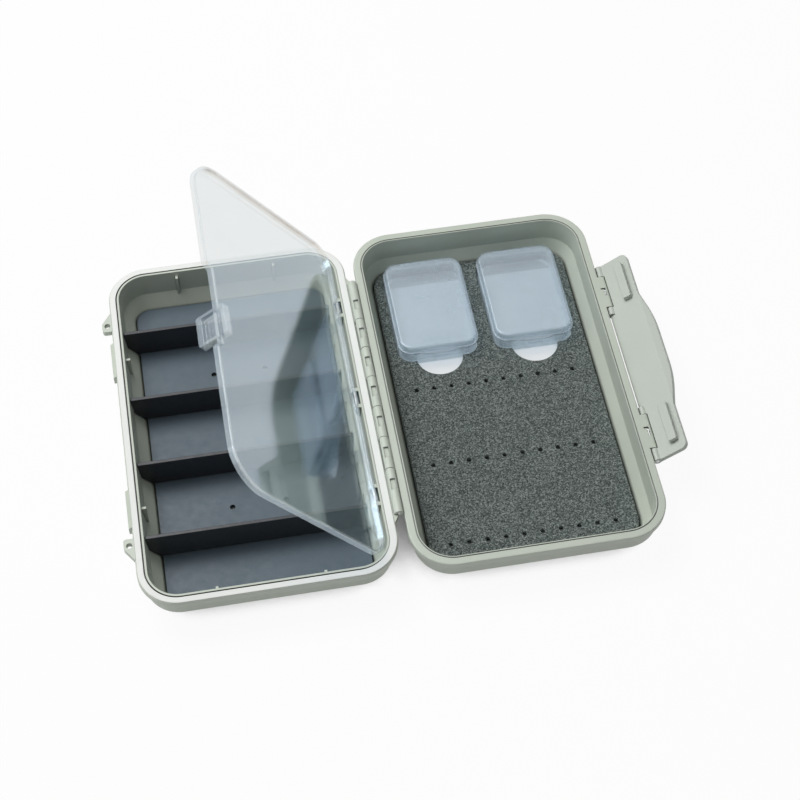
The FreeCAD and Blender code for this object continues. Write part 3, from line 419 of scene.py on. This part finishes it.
def soft_foam():
    """The foam liner, with pockets, thumb notches and rows of holes, all softly edged."""
    low, high = millimetres("foam_liner")
    curve = bpy.data.curves.new("foam_outline", "CURVE")
    curve.dimensions = "2D"
    curve.fill_mode = "BOTH"
    curve.extrude = (high.z - low.z) / 2 - FOAM_EDGE
    curve.bevel_depth = FOAM_EDGE
    curve.bevel_resolution = FOAM_EDGE_STEPS
    curve.offset = -FOAM_EDGE
    for outline in foam_outlines():
        spline = curve.splines.new("POLY")
        spline.points.add(len(outline) - 1)
        for point, (x, y) in zip(spline.points, outline):
            point.co = (x, y, 0, 1)
        spline.use_cyclic_u = True
    shape = new_object("foam_outline", curve)
    bpy.context.view_layer.update()
    solved = shape.evaluated_get(bpy.context.evaluated_depsgraph_get())
    mesh = bpy.data.meshes.new_from_object(solved)
    bpy.data.objects.remove(shape)
    middle = Vector((0, 0, (low.z + high.z) / 2))
    mesh.transform(Matrix.Scale(MM, 4) @ Matrix.Translation(middle))
    piece = new_object("foam_sheet", mesh)
    dress(piece, "foam")
    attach(piece, "lid")
    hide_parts("foam_liner")


def make_camera():
    level = math.cos(CAMERA_ELEVATION)
    back = Vector((math.sin(CAMERA_AZIMUTH) * level, -math.cos(CAMERA_AZIMUTH) * level,
                   math.sin(CAMERA_ELEVATION)))
    right = Vector((math.cos(CAMERA_AZIMUTH), math.sin(CAMERA_AZIMUTH), 0))
    up = back.cross(right)
    turned_right = right * math.cos(CAMERA_ROLL) + up * math.sin(CAMERA_ROLL)
    turned_up = up * math.cos(CAMERA_ROLL) - right * math.sin(CAMERA_ROLL)
    data = bpy.data.cameras.new("camera")
    data.lens = CAMERA_LENS
    data.sensor_width = CAMERA_SENSOR
    data.clip_start = CAMERA_NEAR
    camera = new_object("camera", data)
    turn = Matrix((turned_right, turned_up, back)).transposed().to_4x4()
    camera.matrix_world = Matrix.Translation(CAMERA_TARGET + back * CAMERA_DISTANCE) @ turn
    bpy.context.scene.camera = camera


def make_lamp(name, place, size, power):
    data = bpy.data.lights.new(name, "AREA")
    data.size = size
    data.energy = power
    lamp = new_object(name, data)
    lamp.location = place
    lamp.rotation_euler = (Vector(place) - CAMERA_TARGET).to_track_quat("Z", "Y").to_euler()


def seen_rays(tree):
    """1 for camera, glossy and transmission rays."""
    path = tree.nodes.new("ShaderNodeLightPath")
    seen = path.outputs["Is Camera Ray"]
    for kind in ("Is Glossy Ray", "Is Transmission Ray"):
        either = tree.nodes.new("ShaderNodeMath")
        either.operation = "MAXIMUM"
        tree.links.new(seen, either.inputs[0])
        tree.links.new(path.outputs[kind], either.inputs[1])
        seen = either.outputs[0]
    return seen


def make_world():
    """Soft light from all round, which is seen as plain white."""
    world = bpy.data.worlds.new("studio")
    bpy.context.scene.world = world
    world.use_nodes = True
    tree = world.node_tree
    tree.nodes.clear()
    mixed = tree.nodes.new("ShaderNodeMixShader")
    tree.links.new(seen_rays(tree), mixed.inputs[0])
    for place, strength in ((1, WORLD_LIGHT), (2, 1.0)):
        background = tree.nodes.new("ShaderNodeBackground")
        background.inputs["Color"].default_value = linear(WHITE)
        background.inputs["Strength"].default_value = strength
        tree.links.new(background.outputs[0], mixed.inputs[place])
    tree.links.new(mixed.outputs[0], tree.nodes.new("ShaderNodeOutputWorld").inputs[0])


def make_floor():
    mesh = bpy.data.meshes.new("floor")
    level = cad_bounds[0].z - FLOOR_DROP
    signs = ((-1, -1), (1, -1), (1, 1), (-1, 1))
    corners = [(x * FLOOR_HALF, y * FLOOR_HALF, level) for x, y in signs]
    mesh.from_pydata(corners, [], [(0, 1, 2, 3)])
    floor = new_object("floor", mesh)
    shader = Shader("pale_floor")
    drift = shader.noise(FLOOR_DRIFT_SCALE, 3.0)
    tone = shader.mix(drift, linear(FLOOR_COLOUR), linear(FLOOR_SHADE))
    cloth = shader.add("BsdfDiffuse", {"Color": tone}).outputs[0]
    glow = shader.add("Emission", {"Color": linear(WHITE), "Strength": 1.0}).outputs[0]
    plain = shader.math("MULTIPLY", shader.open_share(GAP_REACH, GAP_RANGE), 1.0 - SHADOW_SHARE)
    share = shader.math("MULTIPLY", seen_rays(shader.tree), plain)
    mesh.materials.append(shader.finish(shader.mix_shaders(share, cloth, glow)))


soft_foam()
make_camera()
make_world()
make_floor()
for lamp_name, lamp in LAMPS.items():
    make_lamp(lamp_name, **lamp)
bpy.context.scene.view_settings.view_transform = "Standard"
